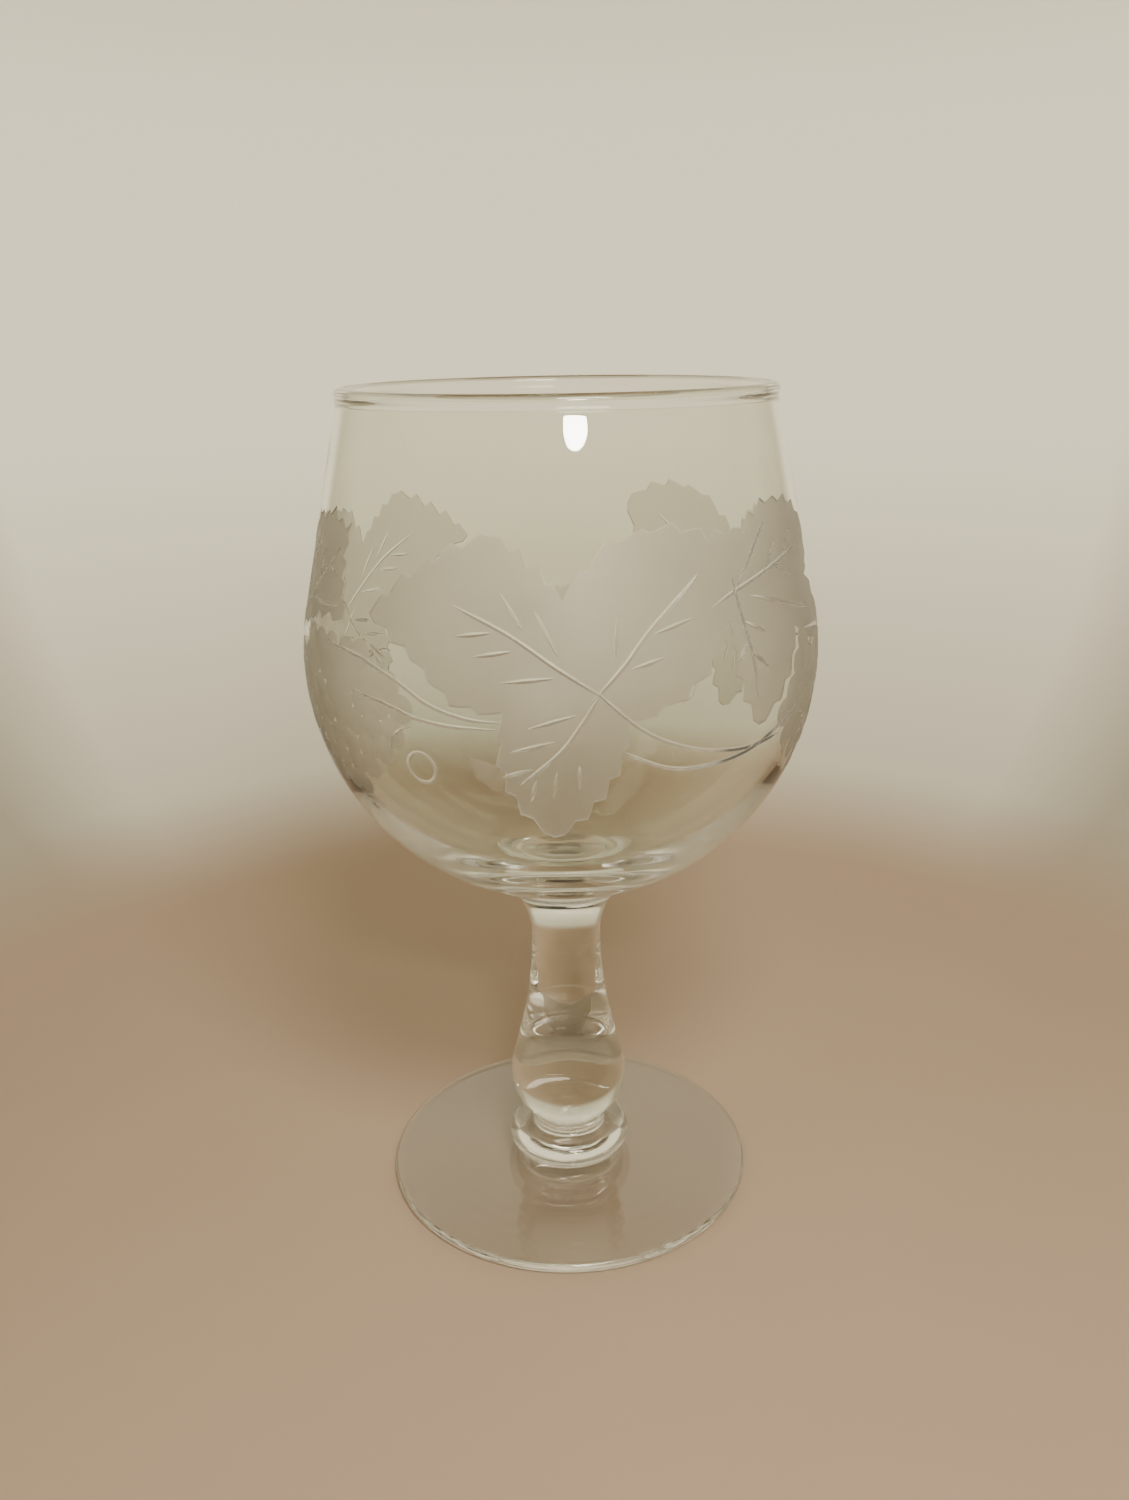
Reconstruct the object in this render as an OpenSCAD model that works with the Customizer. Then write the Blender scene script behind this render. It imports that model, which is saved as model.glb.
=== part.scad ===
// Short-stemmed wine goblet of clear glass.
// A thin blown bowl with a rounded rim stands on a small flared button, a solid
// baluster stem, a rounded collar and a thin round foot. The five pieces are fused
// end to end on flat discs, so each one is a closed solid that meets the next face to face.
// Millimetres, +Z up, origin at the centre of the foot's underside.

/* [Overall] */
// Height from the table to the top of the rim
glass_h = 150; // [146:0.5:156]

/* [Bowl] */
// Outer diameter across the rim
rim_d = 73; // [70:0.5:77]
// Outer diameter at the widest ring of the bowl
bowl_d = 89; // [86:0.5:92]
// Height of the widest ring above the table
belly_z = 105.5; // [102:0.5:108]
// Radius of the curve between the widest ring and the sloping upper wall
shoulder_r = 42; // [35:1:50]
// Radius of the curve of the lower bowl
lower_r = 44.8; // [43:0.1:46]
// Thickness of the wall
wall_t = 1.5; // [1.2:0.1:2]
// Thickness of the rounded rim
rim_t = 2.2; // [2:0.1:3]
// How far the rim's roll stands out from the wall
rim_proud = 0.25; // [0.1:0.05:0.6]
// Height of the inside floor above the table
floor_z = 66; // [65:0.5:70]

/* [Stem] */
// Diameter of the stem where it is widest
stem_d = 22.4; // [20:0.2:25]
// Height of the stem's widest ring above the table
stem_belly_z = 20; // [19:0.5:22]
// Diameter of the stem where it is narrowest, under the button
waist_d = 13; // [12:0.2:15]
// Height of the narrowest place, where the stem ends and the button begins
waist_z = 50; // [48:0.5:53]
// Radius of the curve above the stem's widest ring
stem_shoulder_r = 12; // [8:0.5:16]
// Slope of the stem's side halfway up, from upright
stem_lean = 15; // [14:0.5:17]

/* [Button and collar] */
// Height at which the button ends and the bowl begins
button_top_z = 59; // [57:0.5:60]
// Diameter of the neck between the stem and the collar
neck_d = 13.6; // [12:0.2:15]
// Height at which the collar ends and the stem begins
neck_joint_z = 9.8; // [9.6:0.1:10]
// Diameter of the collar
collar_d = 23.6; // [22:0.2:26]
// Radius of the collar's round edge
collar_edge_r = 2.6; // [2.3:0.1:2.6]
// Radius of the small curves that lead into the neck
neck_fillet_r = 0.9; // [0.5:0.1:0.9]

/* [Foot] */
// Diameter of the foot
foot_d = 70; // [66:0.5:76]
// Thickness of the foot at its rounded edge
foot_edge_t = 2; // [1.6:0.1:2.4]
// Thickness of the foot where its rise to the collar begins
foot_inner_t = 2.6; // [2.5:0.1:3]
// Diameter at which that rise begins
rise_d = 30; // [26:0.5:34]
// Height of the foot's middle, where the collar begins
hub_z = 3.6; // [3.4:0.1:3.8]
// Diameter of the disc on which the collar is fused
hub_d = 17.4; // [16:0.2:18]

/* [Hidden] */
$fn = 128;

glass_tint = [0.80, 0.85, 0.80, 0.45];
solid_tint = [0.70, 0.77, 0.71, 0.60];

// Bowl: the upper wall is the straight line from the rim's roll that touches the shoulder curve
bowl_rad = bowl_d / 2;
shoulder_c = [bowl_rad - shoulder_r, belly_z];
lower_c = [bowl_rad - lower_r, belly_z];
wall_top = [rim_d / 2 - rim_proud, glass_h - rim_t];
roll_c = [rim_d / 2 - rim_t / 2, glass_h - rim_t / 2];
to_top = wall_top - shoulder_c;
wall_lean = atan2(to_top.y, to_top.x) - acos(shoulder_r / norm(to_top));
wall_step = wall_t * [cos(wall_lean), sin(wall_lean)];

// Inside of the lower bowl: it starts one wall inside the widest ring and ends level on the floor
inner_r = belly_z - floor_z;
inner_c = [bowl_rad - wall_t - inner_r, belly_z];

// Flare: the hollow curve that leaves the waist upright and touches the lower bowl from outside
waist_r = waist_d / 2;
flare_dx = waist_r - lower_c.x;
flare_dz = belly_z - waist_z;
flare_r = (pow(flare_dx, 2) + pow(flare_dz, 2) - pow(lower_r, 2)) / (2 * (lower_r - flare_dx));
flare_c = [waist_r + flare_r, waist_z];
flare_end = atan2(lower_c.y - flare_c.y, lower_c.x - flare_c.x);
button_end = 180 - asin((button_top_z - waist_z) / flare_r);

// Stem: round below, then a full curve, a straight side and a long hollow curve up to the waist
stem_rad = stem_d / 2;
lean_gap = tan(stem_lean) * sin(stem_lean) - (1 - cos(stem_lean));
stem_fall = tan(stem_lean) * (waist_z - stem_belly_z) - (stem_rad - waist_r);
hollow_r = stem_fall / lean_gap - stem_shoulder_r;

// Neck: a small curve leads from the upright neck into the round underside of the stem
neck_r = neck_d / 2;
stem_fillet_drop = sqrt(pow(stem_rad + neck_fillet_r, 2) - pow(neck_r + neck_fillet_r, 2));
stem_fillet_c = [neck_r + neck_fillet_r, stem_belly_z - stem_fillet_drop];
stem_fillet_end = atan2(stem_fillet_drop, -(neck_r + neck_fillet_r));

// Collar
collar_c = [collar_d / 2 - collar_edge_r, hub_z + collar_edge_r];
collar_top_z = hub_z + 2 * collar_edge_r;

// Foot: the rise to the hub is one hollow curve that starts level at rise_d
foot_rad = foot_d / 2;
foot_edge_r = foot_edge_t / 2;
rise_w = (rise_d - hub_d) / 2;
rise_h = hub_z - foot_inner_t;
rise_r = (pow(rise_w, 2) + pow(rise_h, 2)) / (2 * rise_h);

// Points on a round stretch of an outline, from angle a0 to angle a1, about one every 4 degrees
function arc(c, r, a0, a1) =
    let (n = max(3, ceil(abs(a1 - a0) / 4)))
    [for (i = [0:n]) c + r * [cos(a0 + (a1 - a0) * i / n), sin(a0 + (a1 - a0) * i / n)]];

// A round solid from the outline of its right half
module lathe(outline) {
    rotate_extrude()
        polygon(outline);
}

module foot() {
    color(solid_tint)
        lathe(concat(
            [[0, 0]],
            arc([foot_rad - foot_edge_r, foot_edge_r], foot_edge_r, -90, 90),
            arc([rise_d / 2, foot_inner_t + rise_r], rise_r, -90, -90 - asin(rise_w / rise_r)),
            [[0, hub_z]]
        ));
}

module collar() {
    color(solid_tint)
        lathe(concat(
            [[0, hub_z]],
            arc(collar_c, collar_edge_r, -90, 90),
            arc([neck_r + neck_fillet_r, collar_top_z + neck_fillet_r], neck_fillet_r, -90, -180),
            [[neck_r, neck_joint_z], [0, neck_joint_z]]
        ));
}

module stem() {
    color(solid_tint)
        lathe(concat(
            [[0, neck_joint_z], [neck_r, neck_joint_z]],
            arc(stem_fillet_c, neck_fillet_r, 180, stem_fillet_end),
            arc([0, stem_belly_z], stem_rad, stem_fillet_end - 180, 0),
            arc([stem_rad - stem_shoulder_r, stem_belly_z], stem_shoulder_r, 0, stem_lean),
            arc([waist_r + hollow_r, waist_z], hollow_r, 180 + stem_lean, 180),
            [[0, waist_z]]
        ));
}

module button() {
    color(solid_tint)
        lathe(concat(
            [[0, waist_z]],
            arc(flare_c, flare_r, 180, button_end),
            [[0, button_top_z]]
        ));
}

module bowl() {
    color(glass_tint)
        lathe(concat(
            [[0, button_top_z]],
            arc(flare_c, flare_r, button_end, flare_end),
            arc(lower_c, lower_r, flare_end - 180, 0),
            arc(shoulder_c, shoulder_r, 0, wall_lean),
            [wall_top],
            arc(roll_c, rim_t / 2, 0, 180),
            [wall_top - wall_step],
            arc(shoulder_c, shoulder_r - wall_t, wall_lean, 0),
            arc(inner_c, inner_r, 0, -90),
            [[0, floor_z]]
        ));
}

foot();
collar();
stem();
button();
bowl();
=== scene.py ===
"""A short-stemmed wine goblet of clear glass, engraved round the bowl with vine leaves and grapes.

Metres, +Z up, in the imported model's own frame. Each piece is turned from the CAD nodes' own
outline. The engraving is laid out on the unrolled bowl and cut into its outer wall.
"""

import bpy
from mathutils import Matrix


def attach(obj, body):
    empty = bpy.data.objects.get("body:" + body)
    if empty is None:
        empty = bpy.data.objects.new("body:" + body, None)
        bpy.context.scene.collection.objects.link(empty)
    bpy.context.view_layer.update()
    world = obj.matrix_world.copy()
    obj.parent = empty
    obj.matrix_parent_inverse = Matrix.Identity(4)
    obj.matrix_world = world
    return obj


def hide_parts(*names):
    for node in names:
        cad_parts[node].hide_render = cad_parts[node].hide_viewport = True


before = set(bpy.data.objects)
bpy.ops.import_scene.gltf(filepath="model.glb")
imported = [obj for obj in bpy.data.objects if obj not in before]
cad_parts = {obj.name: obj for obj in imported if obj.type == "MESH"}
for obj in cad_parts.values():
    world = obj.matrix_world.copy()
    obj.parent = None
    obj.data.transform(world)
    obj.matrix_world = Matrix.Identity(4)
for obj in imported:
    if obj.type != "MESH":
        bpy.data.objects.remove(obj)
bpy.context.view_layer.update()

import math

import bmesh
import bpy
import numpy as np
from mathutils import Matrix, Vector
from mathutils.geometry import delaunay_2d_cdt

MM = 0.001

# ---------------------------------------------------------------- outlines of the turned pieces

GRAIN = 1e-6            # points nearer than this are one point
STEP = 0.1 * MM         # spacing of the eased outline
EASE = 0.45             # share of a CAD facet's length over which its corner is eased
LONGEST_FACET = 3.2 * MM
EASE_SLOPE = 0.3        # how fast the easing may change along the outline


def cad_corners(node):
    """Radius and height of the corners of a CAD node's turned outline, from its lowest end on."""
    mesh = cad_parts[node].data
    co = np.array([v.co for v in mesh.vertices])
    turned = np.column_stack([np.hypot(co[:, 0], co[:, 1]), co[:, 2]])
    keys = [tuple(k) for k in np.round(turned / GRAIN).astype(int)]
    near = {k: set() for k in keys}
    for a, b in mesh.edge_keys:
        near[keys[a]].add(keys[b])
        near[keys[b]].add(keys[a])
    path = [min(near, key=lambda k: k[1])]
    seen = set(path)
    while near[path[-1]] - seen:
        path.append(min(near[path[-1]] - seen, key=lambda k: math.dist(k, path[-1])))
        seen.add(path[-1])
    return np.array(path) * GRAIN


class Outline:
    """A turned outline with its facets eased away, against the distance s along it."""

    def __init__(self, *parts):
        """The parts are lists of corners that follow each other; ends holds where each one ends."""
        corners = np.vstack([parts[0]] + [part[1:] for part in parts[1:]])
        facet = np.hypot(*np.diff(corners, axis=0).T)
        at = np.append(0, np.cumsum(facet))
        self.ends = [at[i] for i in np.cumsum([len(part) - 1 for part in parts])]
        self.s = np.linspace(0, at[-1], int(at[-1] / STEP))
        raw = np.column_stack([np.interp(self.s, at, c) for c in corners.T])
        here = np.clip(np.searchsorted(at, self.s) - 1, 0, len(facet) - 1)
        self.rz = self.eased(raw, EASE * np.minimum(facet[here], LONGEST_FACET))
        slope = np.gradient(self.rz, axis=0)
        slope /= np.hypot(*slope.T)[:, None]
        self.out = np.column_stack([slope[:, 1], -slope[:, 0]])

    def eased(self, raw, reach):
        """The faceted outline blurred over its reach at each place, and mirrored past its ends."""
        apart = np.abs(self.s[:, None] - self.s[None, :])
        reach = (reach[None, :] + EASE_SLOPE * apart).min(axis=1)
        more = min(int(2 * LONGEST_FACET / STEP), len(raw) - 1)
        before = 2 * raw[0] - raw[more:0:-1]
        after = 2 * raw[-1] - raw[-2:-more - 2:-1]
        long = np.concatenate([before, raw, after])
        spot = (np.arange(len(long)) - more) * (self.s[1] - self.s[0])
        pull = np.exp(-0.5 * ((self.s[:, None] - spot[None, :]) / reach[:, None]) ** 2)
        return pull @ long / pull.sum(axis=1, keepdims=True)

    def place(self, angle, s, sunk=0.0):
        """Points at an angle (radians from the front towards +X) and a distance s, sunk into the glass."""
        r, z, out_r, out_z = (np.interp(s, self.s, c) for c in (*self.rz.T, *self.out.T))
        r = np.maximum(r - sunk * out_r, 0)
        z = z - sunk * out_z
        return np.column_stack([r * np.sin(angle), -r * np.cos(angle), z])

    def s_at(self, height):
        """Distance along the rising outer side at which the outline has this height."""
        top = int(np.argmax(self.rz[:, 1]))
        return np.interp(height, self.rz[:top, 1], self.s[:top])


# ---------------------------------------------------------------- materials


def new_material(name):
    mat = bpy.data.materials.new(name)
    mat.use_nodes = True
    return mat, mat.node_tree.nodes, mat.node_tree.links


def noise(nodes, links, scale, detail=3.0, stretch=None):
    """A noise texture in the object's own metres, with scale in cells per metre."""
    place = nodes.new("ShaderNodeTexCoord")
    out = place.outputs["Object"]
    if stretch:
        mapping = nodes.new("ShaderNodeMapping")
        mapping.inputs["Scale"].default_value = stretch
        links.new(out, mapping.inputs["Vector"])
        out = mapping.outputs["Vector"]
    tex = nodes.new("ShaderNodeTexNoise")
    tex.inputs["Scale"].default_value = scale
    tex.inputs["Detail"].default_value = detail
    links.new(out, tex.inputs["Vector"])
    return tex.outputs["Fac"]


def spread(nodes, links, value, low, high, start=0.3, end=0.7):
    """Maps a value from start..end to low..high; the defaults suit a noise."""
    ramp = nodes.new("ShaderNodeMapRange")
    ramp.inputs["From Min"].default_value = start
    ramp.inputs["From Max"].default_value = end
    ramp.inputs["To Min"].default_value = low
    ramp.inputs["To Max"].default_value = high
    links.new(value, ramp.inputs["Value"])
    return ramp.outputs["Result"]


def relief(nodes, links, height, strength, depth):
    bump = nodes.new("ShaderNodeBump")
    bump.inputs["Strength"].default_value = strength
    bump.inputs["Distance"].default_value = depth
    links.new(height, bump.inputs["Height"])
    return bump.outputs["Normal"]


def calculate(nodes, links, operation, first, second=None):
    """One step of arithmetic on one or two outputs."""
    step = nodes.new("ShaderNodeMath")
    step.operation = operation
    links.new(first, step.inputs[0])
    if second is not None:
        links.new(second, step.inputs[1])
    return step.outputs["Value"]


def blend_colours(nodes, links, value, low, high):
    """Blends two colours; the first is three numbers or another blend's output."""
    mix = nodes.new("ShaderNodeMix")
    mix.data_type = "RGBA"
    if isinstance(low, tuple):
        mix.inputs["A"].default_value = (*low, 1)
    else:
        links.new(low, mix.inputs["A"])
    mix.inputs["B"].default_value = (*high, 1)
    links.new(value, mix.inputs["Factor"])
    return mix.outputs["Result"]


def position(nodes, links):
    """The object's own coordinates, in metres, as X, Y and Z outputs."""
    split = nodes.new("ShaderNodeSeparateXYZ")
    links.new(nodes.new("ShaderNodeTexCoord").outputs["Object"], split.inputs["Vector"])
    return split.outputs


GLASS_IOR = 1.52


def new_glass(name, transmission):
    mat, nodes, links = new_material(name)
    sockets = nodes["Principled BSDF"].inputs
    sockets["Transmission Weight"].default_value = transmission
    sockets["IOR"].default_value = GLASS_IOR
    return mat, nodes, links, sockets


def clear_glass(name, light, dark, deep, clear_height, deep_height):
    """Polished soda glass: faint cords in the melt and a light haze of handling.
    Its colour deepens from the first height to the second, towards its thick part."""
    mat, nodes, links, sockets = new_glass(name, transmission=1.0)
    thick = spread(nodes, links, position(nodes, links)["Z"], 0, 1, clear_height, deep_height)
    tint = blend_colours(nodes, links, noise(nodes, links, scale=35), dark, light)
    links.new(blend_colours(nodes, links, thick, tint, deep), sockets["Base Color"])
    haze = noise(nodes, links, scale=90, detail=5)
    haze = spread(nodes, links, haze, low=0.0, high=0.035, start=0.45, end=0.75)
    links.new(haze, sockets["Roughness"])
    cords = noise(nodes, links, scale=60, detail=1, stretch=(1, 1, 0.35))
    links.new(relief(nodes, links, cords, strength=0.35, depth=0.05 * MM), sockets["Normal"])
    return mat


def frosted_glass():
    """Wheel-ground glass: a fine even grain that scatters light, a little cloudier in places."""
    mat, nodes, links, sockets = new_glass("frosted_glass", transmission=0.88)
    cloud = noise(nodes, links, scale=160, detail=4)
    tint = blend_colours(nodes, links, cloud, (0.64, 0.61, 0.55), (0.79, 0.76, 0.69))
    links.new(tint, sockets["Base Color"])
    links.new(spread(nodes, links, cloud, low=0.42, high=0.56), sockets["Roughness"])
    grain = noise(nodes, links, scale=2600, detail=2)
    links.new(relief(nodes, links, grain, strength=0.5, depth=0.03 * MM), sockets["Normal"])
    return mat


def cut_glass():
    """The smooth but unpolished inside of a wheel-cut line."""
    mat, nodes, links, sockets = new_glass("cut_glass", transmission=0.9)
    streaks = noise(nodes, links, scale=1500, detail=2)
    tint = blend_colours(nodes, links, streaks, (0.88, 0.88, 0.85), (0.97, 0.97, 0.95))
    links.new(tint, sockets["Base Color"])
    links.new(spread(nodes, links, streaks, low=0.12, high=0.26), sockets["Roughness"])
    links.new(relief(nodes, links, streaks, strength=0.3, depth=0.02 * MM), sockets["Normal"])
    return mat


def fused_joint():
    """The plane where two pieces are melted into one: the glass goes on through it unseen."""
    mat, nodes, links = new_material("fused_joint")
    nodes["Principled BSDF"].inputs["Alpha"].default_value = 0.0
    return mat


bowl_glass = clear_glass("bowl_glass", light=(0.955, 0.968, 0.920), dark=(0.920, 0.940, 0.875),
                         deep=(0.850, 0.885, 0.800), clear_height=92 * MM, deep_height=66 * MM)
solid_glass = clear_glass("solid_glass", light=(0.988, 0.994, 0.974), dark=(0.966, 0.980, 0.940),
                          deep=(0.930, 0.950, 0.890), clear_height=4 * MM, deep_height=12 * MM)
frost = frosted_glass()
cut = cut_glass()
joint = fused_joint()

# ---------------------------------------------------------------- turned pieces

COLUMNS = 192           # faces round the collar, stem and button
BOWL_COLUMNS = 288      # faces round the bowl and the foot
JOINT_GAP = 0.002 * MM  # how far each joint disc lies inside the CAD piece
SHARP = 35              # edges sharper than this, in degrees, stay crisp
ENGRAVED_SHARP = 12     # the same for the bowl
WAVE = 0.03 * MM        # how far the glass wanders inward from true
# Each wave: how many round, radians per metre along the outline, size.
WAVES = [(2, 90, 1.0), (3, -160, 0.7), (5, 310, 0.5)]


def wander(angle, s, seed):
    """The unevenness of hand-worked glass: how far the surface lies inside the true outline."""
    wave = 0
    for number, (count, pitch, size) in enumerate(WAVES, 1):
        wave = wave + size * np.sin(count * angle + pitch * s + number * 1.7 * seed)
    most = sum(size for _, _, size in WAVES)
    return WAVE * (wave + most) / (2 * most)


def ring_faces(first, second):
    """Quads between two rings of vertex numbers."""
    count = len(first)
    return [(first[i], first[(i + 1) % count], second[(i + 1) % count], second[i]) for i in range(count)]


def fan_faces(ring, centre):
    count = len(ring)
    return [(ring[i], ring[(i + 1) % count], centre) for i in range(count)]


class Shell:
    """Vertices, faces and each face's material, gathered until they become one mesh."""

    def __init__(self):
        self.points = []
        self.faces = []
        self.slots = []

    def add_points(self, points):
        first = len(self.points)
        self.points.extend(map(tuple, points))
        return list(range(first, len(self.points)))

    def add_faces(self, faces, slot):
        self.faces.extend(faces)
        self.slots.extend([slot] * len(faces))

    def make(self, name, materials, sharp=SHARP):
        """The welded mesh as an object."""
        mesh = bpy.data.meshes.new(name)
        mesh.from_pydata(self.points, [], self.faces)
        for mat in materials:
            mesh.materials.append(mat)
        mesh.polygons.foreach_set("material_index", self.slots)
        work = bmesh.new()
        work.from_mesh(mesh)
        bmesh.ops.remove_doubles(work, verts=work.verts, dist=GRAIN)
        bmesh.ops.dissolve_degenerate(work, edges=work.edges, dist=GRAIN / 10)
        stray = [v for v in work.verts if not v.link_faces]
        bmesh.ops.delete(work, geom=stray, context="VERTS")
        bmesh.ops.recalc_face_normals(work, faces=work.faces)
        work.to_mesh(mesh)
        work.free()
        mesh.shade_smooth()
        mesh.set_sharp_from_angle(angle=math.radians(sharp))
        piece = bpy.data.objects.new(name, mesh)
        bpy.context.scene.collection.objects.link(piece)
        return piece


def turn(shell, outline, rows, columns, seed, marks=None):
    """Adds the rings of an outline at the distances in rows, and returns them."""
    angle = np.arange(columns) * 2 * math.pi / columns
    rings = []
    for s in rows:
        sunk = wander(angle, s, seed)
        if marks:
            sunk = sunk + marks(angle, s)
        rings.append(shell.add_points(outline.place(angle, s, sunk)))
    for first, second in zip(rings, rings[1:]):
        shell.add_faces(ring_faces(first, second), 0)
    return rings


def rows_between(start, end, spacing):
    return np.linspace(start, end, max(2, math.ceil((end - start) / spacing) + 1))


def close_disc(shell, ring, slot, radius=None):
    """Closes a ring with a flat disc; radius, if given, is where its middle part turns into a joint."""
    spots = np.array([shell.points[i] for i in ring])
    if radius:
        spots[:, :2] *= radius / np.hypot(*spots[:, :2].T)[:, None]
        inner = shell.add_points(spots)
        shell.add_faces(ring_faces(ring, inner), 0)
        ring = inner
    centre = shell.add_points([(0, 0, spots[:, 2].mean())])[0]
    shell.add_faces(fan_faces(ring, centre), slot)


upright_parts = [cad_corners(node) for node in ("collar", "stem", "button", "bowl")]
floor_end = [[0, upright_parts[-1][-1][1]]]
upright_parts[-1] = np.vstack([upright_parts[-1], floor_end])
upright = Outline(*upright_parts)
foot_corners = cad_corners("foot")
foot_side = Outline(np.vstack([[[0, foot_corners[0][1]]], foot_corners]))
collar_end, stem_end, button_end, bowl_end = upright.ends

SOLID_JOINT = 1         # the place of the joint among the materials of a solid piece


def solid_piece(name, start, end, spacing, seed, low_radius=None):
    """A solid turned piece of the upright, closed at both ends by fused joints."""
    shell = Shell()
    rows = rows_between(start + JOINT_GAP, end - JOINT_GAP, spacing)
    rings = turn(shell, upright, rows, COLUMNS, seed)
    close_disc(shell, rings[0], SOLID_JOINT, low_radius)
    close_disc(shell, rings[-1], SOLID_JOINT)
    return shell.make(name, [solid_glass, joint])


FOOT_HOLLOW = 0.3 * MM  # how far the middle of the underside lies above the table
RING_PITCH = 3.3 * MM   # faint rings that spinning left on the top of the foot
RING_DEPTH = 0.04 * MM
RINGS_FROM, RINGS_TO = 16 * MM, 33 * MM
CHIP_ANGLE = math.radians(29)
CHIP_RISE = 0.8 * MM    # how far along the outline the chip lies above the foot's widest ring
CHIP_SIZE = 0.9 * MM
CHIP_DEPTH = 0.4 * MM
FOOT_MIDDLE = 0.5 * MM  # radius of the small disc that closes the underside


def foot_marks(angle, s):
    """How far the foot's surface is sunk by its hollow underside, its rings and a chip in its edge."""
    edge = int(np.argmax(foot_side.rz[:, 0]))
    r = np.interp(s, foot_side.s, foot_side.rz[:, 0])
    edge_r = foot_side.rz[edge, 0]
    off_edge = s - foot_side.s[edge] - CHIP_RISE
    chip = np.exp(-((edge_r * (angle - CHIP_ANGLE)) ** 2 + off_edge ** 2) / CHIP_SIZE ** 2)
    if s < foot_side.s[edge]:
        sunk = FOOT_HOLLOW * max(0, 1 - (r / RINGS_TO) ** 2)
    else:
        fade = math.sin(math.pi * np.clip((r - RINGS_FROM) / (RINGS_TO - RINGS_FROM), 0, 1))
        sunk = RING_DEPTH * fade * (1 + math.sin(2 * math.pi * r / RING_PITCH)) / 2
    return sunk + CHIP_DEPTH * chip


def make_foot():
    shell = Shell()
    rows = rows_between(FOOT_MIDDLE, foot_side.ends[0] - JOINT_GAP, 0.3 * MM)
    rings = turn(shell, foot_side, rows, BOWL_COLUMNS, 1, foot_marks)
    close_disc(shell, rings[0], 0)
    close_disc(shell, rings[-1], SOLID_JOINT)
    return shell.make("turned_foot", [solid_glass, joint])


# ---------------------------------------------------------------- the engraving, laid out flat
# Places are (degrees round the bowl from the front towards +X, height in millimetres).

MM_PER_DEGREE = 0.777
TURN_MM = 360 * MM_PER_DEGREE       # once round the bowl
TOOTH = 1.3             # how far a leaf's teeth stand out, in millimetres
END_TOOTH = 0.6         # share of that for the first and last tooth of a side
SHOULDER = 0.62         # share of a tooth's height at its shoulder, before its tip
BEVEL = 0.22            # width of the sloping edge of a ground patch, in millimetres
LEAF_DEPTH = 0.11
GRAPE_DEPTH = 0.16
GRAPE_R = 2.4
GRAPE_ACROSS, GRAPE_DOWN = 1.72, 1.50       # spacing of the grapes in a bunch, in their radii
SHOULDER_FROM, SHOULDER_LEAN = 0.1, 0.45    # a shoulder's place along its tooth, and its share of the lean
UNEVEN_ACROSS, UNEVEN_DOWN = 0.25, 0.2      # how far a grape strays from its place, in millimetres


def flat(places):
    """Places on the bowl as millimetres on the flat layout."""
    return np.array(places, float) * (MM_PER_DEGREE, 1)


def stretch_points(start, end, bulge, teeth, lean):
    """One side of a lobe, from start up to but not including end, with its saw teeth."""
    start, end = np.array(start), np.array(end)
    chord = end - start
    side = np.array([-chord[1], chord[0]])
    middle = (start + end) / 2 + 2 * bulge * side
    out = side / np.hypot(*side)

    def on_curve(t):
        return (1 - t) ** 2 * start + 2 * t * (1 - t) * middle + t * t * end

    points = []
    for i in range(teeth):
        size = TOOTH if 0 < i < teeth - 1 or teeth < 3 else END_TOOTH * TOOTH
        shoulder_at = i + SHOULDER_LEAN * lean + SHOULDER_FROM
        points.append(on_curve(i / teeth))
        points.append(on_curve(shoulder_at / teeth) + SHOULDER * size * out)
        points.append(on_curve((i + lean) / teeth) + size * out)
    return points


def leaf_outline(sides):
    """A closed leaf outline from its sides: (corner, bulge, number of teeth, lean of the teeth)."""
    points = []
    for here, there in zip(sides, sides[1:] + sides[:1]):
        points += stretch_points(flat(here[0]), flat(there[0]), *here[1:])
    return np.array(points)


FRONT_LEAF = [
    ((-42, 118.8), 0.05, 5, 0.75),
    ((-14, 131), 0.02, 4, 0.35),
    ((0.5, 122.4), 0.02, 2, 0.75),
    ((12, 130), 0.12, 4, 0.7),
    ((38.5, 126.5), 0.16, 6, 0.3),
    ((12.5, 104.5), 0.10, 5, 0.7),
    ((-2, 85.5), 0.14, 5, 0.3),
    ((-11, 106.5), 0.12, 3, 0.7),
    ((-27, 112), -0.05, 3, 0.6),
]
FRONT_VEINS = [
    [(9, 108), (0, 112.5), (-10, 117.5), (-22, 121.5)],
    [(5, 107.5), (12, 113), (18, 118), (29, 124.8)],
    [(8, 110), (3, 104), (-1, 100), (-8.5, 95)],
    [(-12, 123.5), (-7, 118)],
    [(-5, 121), (-0.5, 114.5)],
    [(-21, 117), (-13, 117.8)],
    [(-17, 114.3), (-9, 115.3)],
    [(-11.5, 110.8), (-1, 111.6)],
    [(13, 112.3), (20.5, 113.7)],
    [(18, 117), (27, 118.7)],
    [(10, 113), (11, 120)],
    [(-6.5, 104.1), (3, 106.2)],
    [(-10, 100.4), (-1, 102.2)],
    [(-12, 96.3), (-5.5, 97.8)],
    [(3.2, 98.5), (3.2, 94)],
    [(-1, 97.5), (-2, 92.5)],
    [(-5, 96.2), (-6.5, 92)],
]
RIGHT_LEAF = [
    ((42.7, 129.5), 0.04, 2, 0.75),
    ((52, 133.2), 0.08, 4, 0.6),
    ((75, 128), 0.10, 3, 0.35),
    ((68, 120.5), 0.05, 2, 0.7),
    ((77, 112.5), 0.10, 3, 0.3),
    ((57, 114), 0.08, 4, 0.7),
    ((43, 100.5), 0.08, 4, 0.3),
    ((36, 117), 0.05, 2, 0.7),
    ((27, 127), 0.10, 3, 0.5),
]
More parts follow.
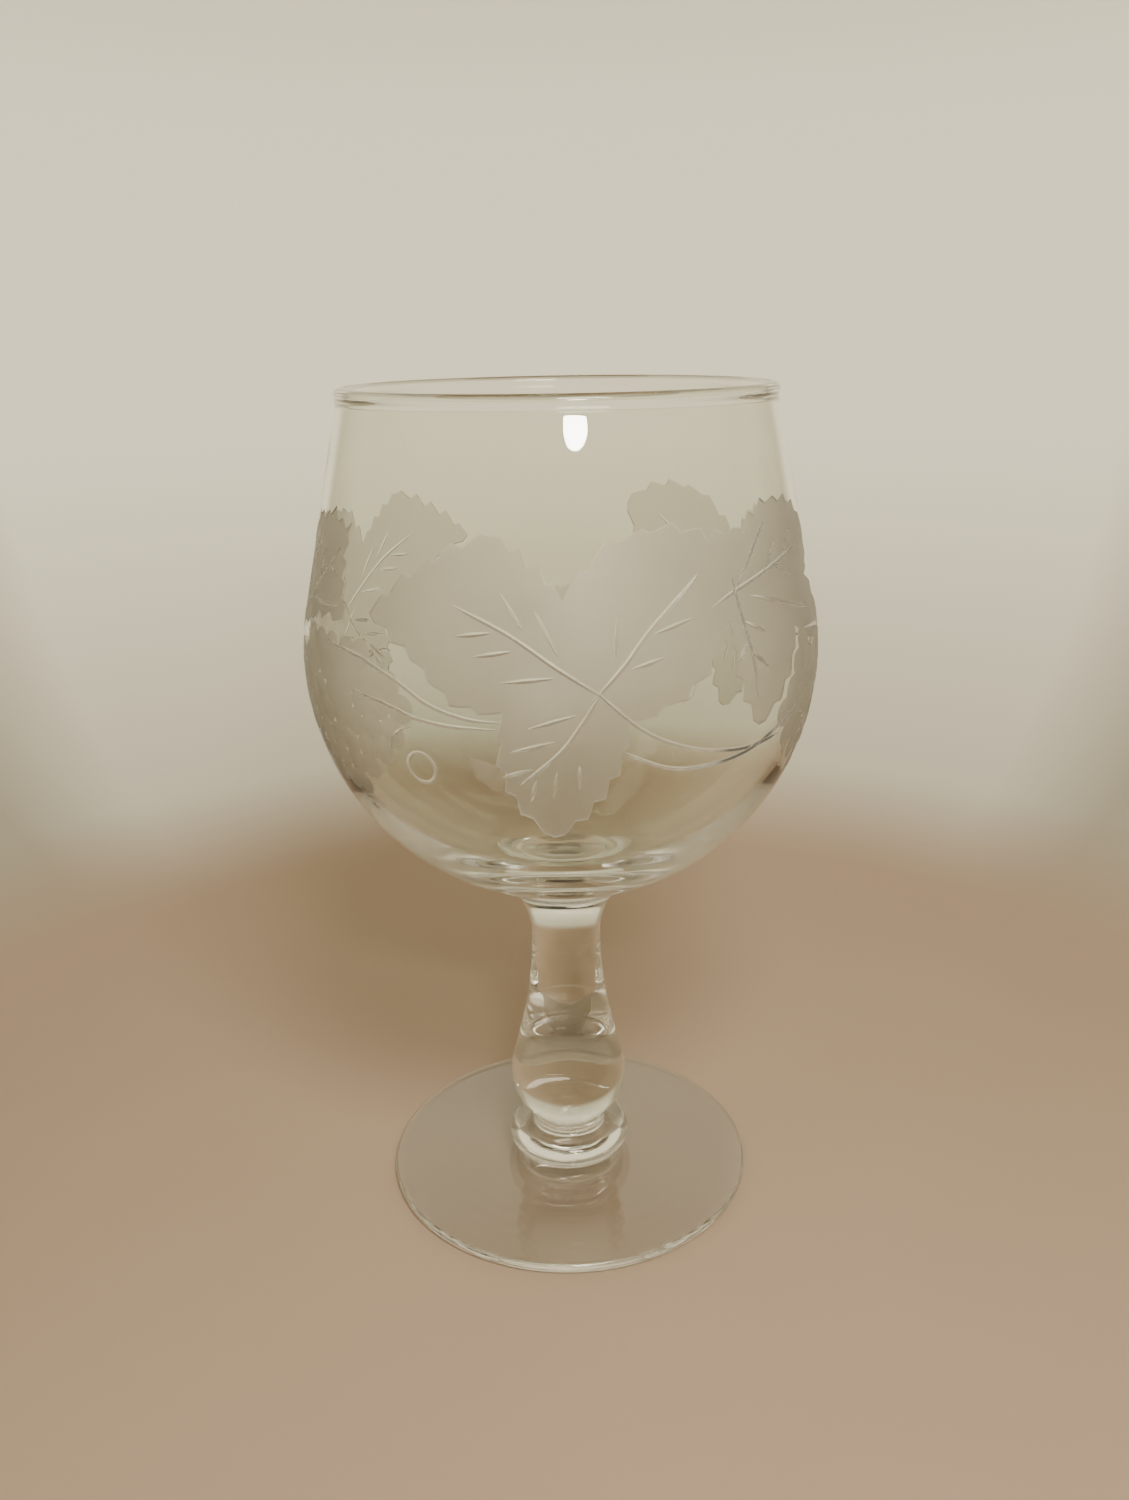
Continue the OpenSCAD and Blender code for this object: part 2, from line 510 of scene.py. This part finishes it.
RIGHT_VEINS = [
    [(31, 119.5), (38, 121.5), (50, 123.7), (66, 126)],
    [(37.6, 124), (38.3, 120), (41, 111), (42, 105)],
    [(38, 121.5), (45, 127), (51, 131)],
    [(42, 120.5), (54, 118), (67, 115.5)],
    [(48, 123.2), (54, 127.5)],
    [(56, 124.6), (63, 129)],
    [(52, 124), (60, 121.5)],
    [(39.3, 117), (46, 114.5)],
    [(40.5, 112.5), (46, 109)],
    [(40, 114), (36.5, 111)],
]
LEFT_LEAF = [
    ((-49, 116), 0.08, 5, 0.3),
    ((-51, 131.5), 0.10, 2, 0.5),
    ((-60, 133.2), 0.06, 3, 0.7),
    ((-74, 132), 0.12, 3, 0.4),
    ((-87, 125.5), 0.06, 3, 0.7),
    ((-89, 114), 0.10, 3, 0.3),
    ((-80, 110), 0.10, 3, 0.7),
    ((-71, 113.5), 0.06, 4, 0.7),
]
LEFT_VEINS = [
    [(-76, 116), (-66, 121), (-55, 127.5)],
    [(-74, 117), (-73, 123), (-71, 129.5)],
    [(-71, 117), (-78, 119), (-85, 121.5)],
    [(-70, 118.5), (-61, 118.3), (-53, 118.8)],
    [(-65, 121.5), (-63.5, 127)],
    [(-60, 124.5), (-55.5, 123)],
    [(-73, 124), (-67, 128.5)],
    [(-75, 118.5), (-79, 114.5)],
]
VINES = [
    [(5, 110.4), (7, 109), (15, 103.5), (22, 100.5), (30, 98.5), (41, 97.3), (52, 97.8)],
    [(11.5, 100.2), (20, 97), (28, 96), (40, 96.6), (50, 99), (60, 102)],
    [(-57, 113.2), (-45, 112.3), (-39, 111.2), (-32, 109.2), (-26, 106.8), (-18, 105.2), (-11, 105)],
    [(-46, 107), (-36, 105.8), (-30, 104.6), (-22, 103.9), (-12, 103.9)],
    [(62, 113), (75, 111.5), (88, 107.5), (102, 104.8), (109, 104.5)],
    [(126, 109.4), (135, 103), (143, 100), (151, 98), (162, 97), (172, 97.5)],
    [(132, 100), (142, 96.5), (152, 95.5), (164, 96.5), (174, 99)],
    [(-171, 106.5), (-162, 107.5), (-152, 107), (-139, 104.5), (-131, 104.3)],
    [(-115, 109.6), (-106, 103), (-98, 100), (-88, 98), (-79, 97.5)],
    [(-109, 99.5), (-99, 96.3), (-88, 95.5), (-77, 98)],
]
TENDRILS = [
    [(-41, 114.5), (-38.5, 112.6), (-36, 111.4)],
    [(-36, 98), (-35.5, 100.5), (-33, 102.3), (-30, 103)],
]
FRONT_CROSSING = (7, 109)   # where the front leaf's long veins cross


def moved(places, to, size, turn_by):
    """Places of the front leaf carried to another crossing of veins, resized and turned."""
    spots = (np.array(places, float) - FRONT_CROSSING) * (MM_PER_DEGREE, 1) * size
    c, s = math.cos(math.radians(turn_by)), math.sin(math.radians(turn_by))
    spots = spots @ np.array([[c, s], [-s, c]])
    spots = spots / (MM_PER_DEGREE, 1) + to
    return [tuple(p) for p in spots]


def moved_leaf(to, size, turn_by):
    """The front leaf's sides and veins at another place."""
    corners = moved([side[0] for side in FRONT_LEAF], to, size, turn_by)
    sides = [(corner, *side[1:]) for corner, side in zip(corners, FRONT_LEAF)]
    veins = [moved(vein, to, size, turn_by) for vein in FRONT_VEINS]
    return sides, veins


LEAVES = [
    (FRONT_LEAF, FRONT_VEINS),
    (RIGHT_LEAF, RIGHT_VEINS),
    (LEFT_LEAF, LEFT_VEINS),
    moved_leaf((132, 108.5), 0.92, 3),
    moved_leaf((-110, 109.5), 0.90, -2),
]
BUNCH_ROWS = [5, 8, 9, 8, 7, 5, 3]
BUNCHES = [(-54, 112.5, 0.0), (71, 111.5, 1.0), (-172, 105.5, 3.0)]
GRAPE_RINGS = [(-29, 96.5), (91, 96), (141, 88.5)]


def grape_places(bunch):
    """The grapes of one bunch: rows that hang from its top, set like shot and slightly uneven."""
    angle, height, seed = bunch
    places = []
    for row, count in enumerate(BUNCH_ROWS):
        for i in range(count):
            across = (i - (count - 1) / 2) * GRAPE_ACROSS * GRAPE_R
            across += UNEVEN_ACROSS * math.sin(9 * i + 5 * row + seed)
            down = row * GRAPE_DOWN * GRAPE_R + UNEVEN_DOWN * math.sin(7 * i + 3 * row + 2 * seed)
            places.append((angle * MM_PER_DEGREE + across, height - down))
    return places


def polyline(points, spacing, closed=False):
    """The same line with points no further apart than spacing."""
    points = [np.array(p, float) for p in points]
    ends = points[1:] + ([points[0]] if closed else [])
    line = []
    for a, b in zip(points, ends):
        count = max(1, math.ceil(np.hypot(*(b - a)) / spacing))
        line += [a + (b - a) * i / count for i in range(count)]
    return np.array(line if closed else line + [points[-1]])


def bent(points, spacing):
    """A smooth line through the points."""
    points = np.array(points, float)
    if len(points) == 2:
        return polyline(points, spacing)
    ends = np.vstack([2 * points[0] - points[1], points, 2 * points[-1] - points[-2]])
    line = []
    for p0, p1, p2, p3 in zip(ends, ends[1:], ends[2:], ends[3:]):
        count = max(2, math.ceil(np.hypot(*(p2 - p1)) / spacing))
        for t in np.arange(count) / count:
            line.append(0.5 * (2 * p1 + (p2 - p0) * t + (2 * p0 - 5 * p1 + 4 * p2 - p3) * t * t
                               + (3 * p1 - p0 - 3 * p2 + p3) * t ** 3))
    return np.array(line + [points[-1]])


# ---------------------------------------------------------------- the engraving, cut into the wall

BAND_LOW, BAND_HIGH = 80, 139   # heights between which the wall is engraved, in millimetres
GRID = 1.15             # spacing of the rows of the band's own points, in millimetres
GRID_SHARE = 0.75       # points in such a row for each face round the bowl
SAME_POINT = 1e-4       # points nearer than this count as one, in millimetres
BOWL_SEED = 5
RIM_REACH = math.pi / 2 * 2.4 * MM      # rows are set close this far to either side of the rim's top
INSIDE_MIDDLE = 0.4 * MM    # radius of the small disc that closes the inside floor
CLEARANCE = 0.42        # how near a line of the engraving the band's own points may come
LINE_HALF = 0.34        # half the width of a vein or vine
STROKE_HALF = 0.38      # half the width of a short side vein at its middle
RING_HALF = 0.36
CUT_SLOPE = 0.70        # depth of a cut line over half its width
RING_SLOPE = 0.25
LINE_STEP = 0.9         # spacing of the points along outlines and lines, in millimetres
VEIN_END = 5.0          # length over which a line's end runs out to nothing, in millimetres
STROKE_END = 6.0
VINE_END = 6.0
TENDRIL_END = 3.0
TENDRIL_SHARE = 0.6     # a tendril's width over a vine's
CUT_SHARE = 0.98        # share of a line's half width that gets the look of a cut
LEAST_LEAN, MOST_REACH = 0.2, 1.8       # limits for the sharp corners of an inset outline
GRAPE_LOOPS = ((1, 22), (0.55, 10))     # rings of points in a grape: share of its radius, points
RING_R, RING_POINTS = GRAPE_R + 0.1, 26
OUTSIDE_STEP, RIM_STEP, INSIDE_STEP = 0.9 * MM, 0.14 * MM, 1.2 * MM     # spacing of the plain rows
BELOW_STEP = 0.8 * MM
CLEAR, GROUND, CUT, BOWL_JOINT = 0, 1, 2, 3     # the places of the bowl's materials


def within(points, outline):
    """Whether each point lies inside a closed outline."""
    x, y = points[:, 0:1], points[:, 1:2]
    ax, ay = outline[:, 0], outline[:, 1]
    bx, by = np.roll(ax, -1), np.roll(ay, -1)
    level = np.where(ay == by, 1e-12, by - ay)
    crossing = ((ay > y) != (by > y)) & (x < (bx - ax) * (y - ay) / level + ax)
    return crossing.sum(axis=1) % 2 == 1


def from_line(points, line, halves=None):
    """Distance of each point from a line, and the line's half width at its nearest place."""
    a, b = line[:-1], line[1:]
    along = b - a
    t = ((points[:, None] - a) * along).sum(axis=2) / (along ** 2).sum(axis=1)
    t = np.clip(t, 0, 1)
    gap = np.hypot(*np.moveaxis(points[:, None] - a - t[..., None] * along, 2, 0))
    pick = gap.argmin(axis=1)
    every = np.arange(len(points))
    if halves is None:
        return gap[every, pick]
    half = halves[pick] + t[every, pick] * (halves[pick + 1] - halves[pick])
    return gap[every, pick], half


def near_box(points, line, margin):
    """The numbers of the points within a margin of the box round a line."""
    inside = (points >= line.min(axis=0) - margin) & (points <= line.max(axis=0) + margin)
    return np.nonzero(inside.all(axis=1))[0]


def inset(outline, by):
    """A closed outline moved inward by a small distance."""
    before, after = np.roll(outline, 1, axis=0), np.roll(outline, -1, axis=0)
    first, second = outline - before, after - outline
    first /= np.hypot(*first.T)[:, None]
    second /= np.hypot(*second.T)[:, None]
    x, y = outline.T
    turn_sign = np.sign((x * np.roll(y, -1) - np.roll(x, -1) * y).sum())
    lean = first + second
    inward = np.column_stack([-lean[:, 1], lean[:, 0]]) * turn_sign
    length = np.hypot(*inward.T)
    length = np.maximum(length, LEAST_LEAN)
    reach = np.minimum(2 / length, MOST_REACH)
    return outline + by * inward * (reach / length)[:, None]


def circle(centre, radius, count):
    angle = np.arange(count) * 2 * math.pi / count
    return np.array(centre) + radius * np.column_stack([np.cos(angle), np.sin(angle)])


def tapered(line, half, blunt):
    """Half widths along a cut line that runs out to nothing at both ends, over a length blunt."""
    at = np.append(0, np.cumsum(np.hypot(*np.diff(line, axis=0).T)))
    ends = np.minimum(at, at[-1] - at)
    return half * np.sqrt(np.clip(ends / min(blunt, at[-1] / 2), 0, 1))


def ribbon_sides(line, halves):
    """The two edges of a cut line."""
    lean = np.gradient(line, axis=0)
    lean /= np.hypot(*lean.T)[:, None]
    across = np.column_stack([-lean[:, 1], lean[:, 0]]) * halves[:, None]
    return line + across, line - across


class Engraving:
    """Every patch and line of the engraving on the flat layout, with how deep each place is."""

    def __init__(self):
        self.patches = []       # closed outlines of ground leaves
        self.grapes = []        # centres of ground grapes
        self.lines = []         # (line, half widths, depth over half width)
        self.loops = []         # closed or open lines that the mesh has to follow

    def add_leaf(self, sides, veins):
        outline = polyline(leaf_outline(sides), LINE_STEP, closed=True)
        self.patches.append(outline)
        self.loops += [(outline, True), (inset(outline, BEVEL), True)]
        for vein in veins:
            if len(vein) > 2:
                self.add_line(flat(vein), LINE_HALF, VEIN_END)
            else:
                self.add_line(flat(vein), STROKE_HALF, STROKE_END)

    def add_line(self, places, half, blunt):
        line = bent(places, LINE_STEP)
        halves = tapered(line, half, blunt)
        self.lines.append((line, halves, CUT_SLOPE))
        self.loops += [(side, False) for side in (line, *ribbon_sides(line, halves))]

    def add_grape(self, centre):
        self.grapes.append(centre)
        for share, count in GRAPE_LOOPS:
            self.loops.append((circle(centre, share * GRAPE_R, count), True))

    def add_ring(self, place):
        line = circle(flat([place])[0], RING_R, RING_POINTS)
        line = np.vstack([line, line[:1]])
        halves = np.full(len(line), RING_HALF)
        self.lines.append((line, halves, RING_SLOPE))
        for side in (line, *ribbon_sides(line, halves)):
            self.loops.append((side[:-1], True))

    def look_up(self, points):
        """Depth of each point below the polished wall, and whether it is clear, ground or cut."""
        depth = np.zeros(len(points))
        kind = np.full(len(points), CLEAR)
        for outline in self.patches:
            who = near_box(points, outline, 0)
            who = who[within(points[who], outline)]
            edge = from_line(points[who], np.vstack([outline, outline[:1]]))
            depth[who] = np.maximum(depth[who], LEAF_DEPTH * np.minimum(edge / BEVEL, 1))
            kind[who] = GROUND
        for centre in self.grapes:
            far = np.hypot(*(points - centre).T)
            who = np.nonzero(far < GRAPE_R)[0]
            depth[who] = np.maximum(depth[who], GRAPE_DEPTH * (1 - (far[who] / GRAPE_R) ** 2))
            kind[who] = GROUND
        for line, halves, slope in self.lines:
            who = near_box(points, line, STROKE_HALF)
            far, half = from_line(points[who], line, halves)
            hit = far < half
            depth[who[hit]] += slope * (half - far)[hit]
            kind[who[far < CUT_SHARE * half]] = CUT
        return depth, kind


def design():
    art = Engraving()
    for sides, veins in LEAVES:
        art.add_leaf(sides, veins)
    for bunch in BUNCHES:
        for centre in grape_places(bunch):
            if not any(within(np.array([centre]), leaf)[0] for leaf in art.patches):
                art.add_grape(centre)
    for place in GRAPE_RINGS:
        art.add_ring(place)
    for vine in VINES:
        art.add_line(flat(vine), LINE_HALF, VINE_END)
    for tendril in TENDRILS:
        art.add_line(flat(tendril), TENDRIL_SHARE * LINE_HALF, TENDRIL_END)
    return art


def band_grid(low, high):
    """The band's own points, the links round its border, and how many of the points lie in the two
    rows that join it to the plain glass."""
    edge_x = (np.arange(BOWL_COLUMNS + 1) / BOWL_COLUMNS - 0.5) * TURN_MM
    points = [(x, y) for y in (low, high) for x in edge_x]
    joined = len(points)
    links = [(i, i + 1) for i in range(BOWL_COLUMNS)]
    links += [(BOWL_COLUMNS + 1 + i, BOWL_COLUMNS + 2 + i) for i in range(BOWL_COLUMNS)]
    links += [(0, BOWL_COLUMNS + 1), (BOWL_COLUMNS, 2 * BOWL_COLUMNS + 1)]
    step_x = TURN_MM / (BOWL_COLUMNS * GRID_SHARE)
    inner_x = np.arange(-TURN_MM / 2, TURN_MM / 2 - step_x / 2, step_x)
    rows = np.linspace(low, high, round((high - low) / GRID) + 1)
    for row, y in enumerate(rows[1:-1]):
        start = inner_x + (step_x / 2 if row % 2 else 0)
        points += [(x, y) for x in start if x > inner_x[0] + step_x / 4]
        points += [(-TURN_MM / 2, y), (TURN_MM / 2, y)]
    return np.array(points), links, joined


def loops_on_band(art, to_layout):
    """The engraving's lines on the band, with those past one of its ends repeated at the other."""
    loops = []
    for line, closed in art.loops:
        for shift in (-TURN_MM, 0, TURN_MM):
            moved_line = to_layout(line + (shift, 0))
            if np.abs(moved_line[:, 0]).min() <= TURN_MM / 2 + CLEARANCE:
                loops.append((moved_line, closed))
    return loops


def clear_of_loops(points, loops):
    """Whether each point keeps its clearance from every line."""
    free = np.ones(len(points), bool)
    for line, closed in loops:
        whole = np.vstack([line, line[:1]]) if closed else line
        who = near_box(points, whole, CLEARANCE)
        free[who[from_line(points[who], whole) < CLEARANCE]] = False
    return free


def lay_out_band(art, low, high, to_layout):
    """Triangles of the unrolled band between two distances along the wall, split along every line
    of the engraving. Returns their corners, as millimetres round and along the wall, and the faces."""
    points, links, joined = band_grid(low, high)
    loops = loops_on_band(art, to_layout)
    free = clear_of_loops(points, loops)
    free[:joined] = True
    points = [Vector(p) for p in points[free]]
    for line, closed in loops:
        first = len(points)
        points += [Vector(p) for p in line]
        links += [(first + i, first + i + 1) for i in range(len(line) - 1)]
        if closed:
            links.append((first + len(line) - 1, first))
    corners, _, faces, *_ = delaunay_2d_cdt(points, links, [], 0, SAME_POINT)
    corners = np.array([tuple(c) for c in corners])
    middles = np.array([corners[list(f)].mean(axis=0) for f in faces])
    keep = np.abs(middles[:, 0]) < TURN_MM / 2
    corners[:, 0] = np.clip(corners[:, 0], -TURN_MM / 2, TURN_MM / 2)
    return corners, [tuple(f) for f, k in zip(faces, keep) if k]


def add_plain_glass(shell, low_s, high_s):
    """The polished bowl below the engraved band, and above it over the rim and down the inside."""
    rows = rows_between(button_end + JOINT_GAP, low_s, BELOW_STEP)
    below = turn(shell, upright, rows, BOWL_COLUMNS, BOWL_SEED)
    close_disc(shell, below[0], BOWL_JOINT)
    rim_s = upright.s[int(np.argmax(upright.rz[:, 1]))]
    rows = np.concatenate([
        rows_between(high_s, rim_s - RIM_REACH, OUTSIDE_STEP)[:-1],
        rows_between(rim_s - RIM_REACH, rim_s + RIM_REACH, RIM_STEP)[:-1],
        rows_between(rim_s + RIM_REACH, bowl_end - INSIDE_MIDDLE, INSIDE_STEP)])
    above = turn(shell, upright, rows, BOWL_COLUMNS, BOWL_SEED)
    close_disc(shell, above[-1], CLEAR)


def add_engraved_band(shell, low_s, high_s):
    """The outer wall's middle, cut and ground with the whole engraving."""
    heights = np.linspace(BAND_LOW, BAND_HIGH, 200)
    along = upright.s_at(heights * MM) / MM

    def to_layout(line):
        return np.column_stack([line[:, 0], np.interp(line[:, 1], heights, along)])

    def to_height(points):
        return np.column_stack([points[:, 0], np.interp(points[:, 1], along, heights)])

    art = design()
    corners, faces = lay_out_band(art, low_s / MM, high_s / MM, to_layout)
    middles = to_height(np.array([corners[list(f)].mean(axis=0) for f in faces]))
    spots = to_height(corners)
    depth = np.zeros(len(spots))
    kind = np.full(len(middles), CLEAR)
    for shift in (-TURN_MM, 0, TURN_MM):
        depth = np.maximum(depth, art.look_up(spots + (shift, 0))[0])
        kind = np.maximum(kind, art.look_up(middles + (shift, 0))[1])
    angle = corners[:, 0] / TURN_MM * 2 * math.pi
    s = corners[:, 1] * MM
    band = shell.add_points(upright.place(angle, s, wander(angle, s, BOWL_SEED) + depth * MM))
    for slot in (CLEAR, GROUND, CUT):
        chosen = [tuple(band[i] for i in f) for f, k in zip(faces, kind) if k == slot]
        shell.add_faces(chosen, slot)


def make_bowl():
    shell = Shell()
    low_s, high_s = upright.s_at(BAND_LOW * MM), upright.s_at(BAND_HIGH * MM)
    add_plain_glass(shell, low_s, high_s)
    add_engraved_band(shell, low_s, high_s)
    return shell.make("engraved_bowl", [bowl_glass, frost, cut, joint], ENGRAVED_SHARP)


# ---------------------------------------------------------------- the assembly

hub_radius = foot_corners[-1][0]
pieces = [
    (make_foot(), "foot", "solid_glass"),
    (solid_piece("turned_collar", 0, collar_end, 0.14 * MM, 2, hub_radius), "collar", "solid_glass"),
    (solid_piece("turned_stem", collar_end, stem_end, 0.3 * MM, 3), "stem", "solid_glass"),
    (solid_piece("turned_button", stem_end, button_end, 0.2 * MM, 4), "button", "solid_glass"),
    (make_bowl(), "bowl", "bowl_glass"),
]
for piece, node, slot in pieces:
    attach(piece, "root")
    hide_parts(node)

# ---------------------------------------------------------------- studio

FLOOR_DROP = 0.15 * MM
SWEEP_COLUMNS = 128
SWEEP_MIDDLE = 2 * MM
SWEEP_FLAT = 150 * MM
SWEEP_BEND = 160 * MM
SWEEP_TOP = 450 * MM
WALL_FROM, WALL_TO = 0.5 * MM, 14 * MM     # heights over which the floor's colour turns into the wall's
FAR_GLOW = 0.84         # the far side of the wall is lit from behind, like a light tent
NEAR_GLOW = 0.03
GLOW_FULL, GLOW_ENDS = math.radians(40), math.radians(50)   # how far round from its middle
GLOW_LOW, GLOW_HIGH = 120 * MM, 230 * MM   # between these heights it glows most
FLOOR_GLOW, TOP_GLOW = 0.35, 0.1           # share of the glow that is left at the floor and at the top
FLOOR_DARK, FLOOR_LIGHT = (0.50, 0.37, 0.27), (0.55, 0.42, 0.31)
WALL_COLOUR = (0.52, 0.49, 0.40)
GLOW_COLOUR = (1.0, 0.92, 0.67)
AIR_COLOUR = (0.82, 0.82, 0.80)
AIR_GLOW = 0.06
LIGHT_PASSES = 32       # thick glass sends light to and fro this often before it lets it out


def sweep_material():
    """The floor's colour, which turns into the wall's colour and its glow above the floor."""
    mat, nodes, links = new_material("pale_sweep")
    sockets = nodes["Principled BSDF"].inputs
    sockets["Roughness"].default_value = 0.85
    cloud = noise(nodes, links, scale=12, detail=4)
    floor_colour = blend_colours(nodes, links, cloud, FLOOR_DARK, FLOOR_LIGHT)
    place = position(nodes, links)
    rise = spread(nodes, links, place["Z"], 0, 1, WALL_FROM, WALL_TO)
    links.new(blend_colours(nodes, links, rise, floor_colour, WALL_COLOUR), sockets["Base Color"])
    sockets["Emission Color"].default_value = (*GLOW_COLOUR, 1)
    turned = calculate(nodes, links, "ARCTAN2", place["X"], place["Y"])
    turned = calculate(nodes, links, "ABSOLUTE", turned)
    glow = calculate(nodes, links, "MULTIPLY", rise,
                     spread(nodes, links, turned, FAR_GLOW, NEAR_GLOW, GLOW_FULL, GLOW_ENDS))
    above_floor = spread(nodes, links, place["Z"], FLOOR_GLOW, 1, WALL_TO, GLOW_LOW)
    below_top = spread(nodes, links, place["Z"], 1, TOP_GLOW, GLOW_HIGH, SWEEP_TOP)
    for share in (above_floor, below_top):
        glow = calculate(nodes, links, "MULTIPLY", glow, share)
    links.new(glow, sockets["Emission Strength"])
    return mat


def make_sweep():
    """A plain pale floor that curves up into a wall all round."""
    bend = [(SWEEP_FLAT + SWEEP_BEND * math.sin(a), SWEEP_BEND * (1 - math.cos(a)))
            for a in np.linspace(0, math.pi / 2, 24)]
    outline = [(r, 0) for r in np.linspace(SWEEP_MIDDLE, SWEEP_FLAT, 12)[:-1]] + bend
    outline += [(bend[-1][0], z) for z in np.linspace(bend[-1][1], SWEEP_TOP, 8)[1:]]
    shell = Shell()
    angle = np.arange(SWEEP_COLUMNS) * 2 * math.pi / SWEEP_COLUMNS
    rings = [shell.add_points([(r * math.sin(a), -r * math.cos(a), z - FLOOR_DROP) for a in angle])
             for r, z in outline]
    for first, second in zip(rings, rings[1:]):
        shell.add_faces(ring_faces(first, second), 0)
    close_disc(shell, rings[0], 0)
    shell.make("studio_sweep", [sweep_material()])


def area_light(name, place, target, wide, tall, power, colour):
    data = bpy.data.lights.new(name, "AREA")
    data.shape = "ELLIPSE"
    data.size = wide
    data.size_y = tall
    data.energy = power
    data.color = colour
    lamp = bpy.data.objects.new(name, data)
    lamp.location = place
    lamp.rotation_euler = (Vector(target) - Vector(place)).to_track_quat("-Z", "Y").to_euler()
    bpy.context.scene.collection.objects.link(lamp)


def make_world():
    """The faint light of the air above the sweep."""
    world = bpy.data.worlds.new("studio_air")
    world.use_nodes = True
    back = world.node_tree.nodes["Background"]
    back.inputs["Color"].default_value = (*AIR_COLOUR, 1)
    back.inputs["Strength"].default_value = AIR_GLOW
    bpy.context.scene.world = world


CAMERA_AT = Vector((0.3, -214.6, 158.4)) * MM
CAMERA_PITCH = 18.62    # degrees below level
CAMERA_ROLL = -0.96
CAMERA_LENS = 30.0


def make_camera():
    data = bpy.data.cameras.new("camera")
    data.lens = CAMERA_LENS
    data.clip_start = 0.005
    camera = bpy.data.objects.new("camera", data)
    tilt = Matrix.Rotation(math.radians(90 - CAMERA_PITCH), 4, "X")
    roll = Matrix.Rotation(math.radians(CAMERA_ROLL), 4, "Z")
    camera.matrix_world = Matrix.Translation(CAMERA_AT) @ tilt @ roll
    bpy.context.scene.collection.objects.link(camera)
    bpy.context.scene.camera = camera


make_sweep()
make_world()
bpy.context.scene.cycles.max_bounces = LIGHT_PASSES
bpy.context.scene.cycles.transmission_bounces = LIGHT_PASSES
bpy.context.scene.cycles.glossy_bounces = LIGHT_PASSES
area_light("key_lamp", place=(0.07, -0.27, 0.38), target=(0, 0, 0.08), wide=0.15, tall=0.15,
           power=1.5, colour=(1.0, 0.90, 0.74))
area_light("front_lamp", place=(0.039, -0.269, 0.2325), target=(0, 0, 0.146), wide=0.052, tall=0.013,
           power=0.30, colour=(1.0, 0.96, 0.88))
make_camera()
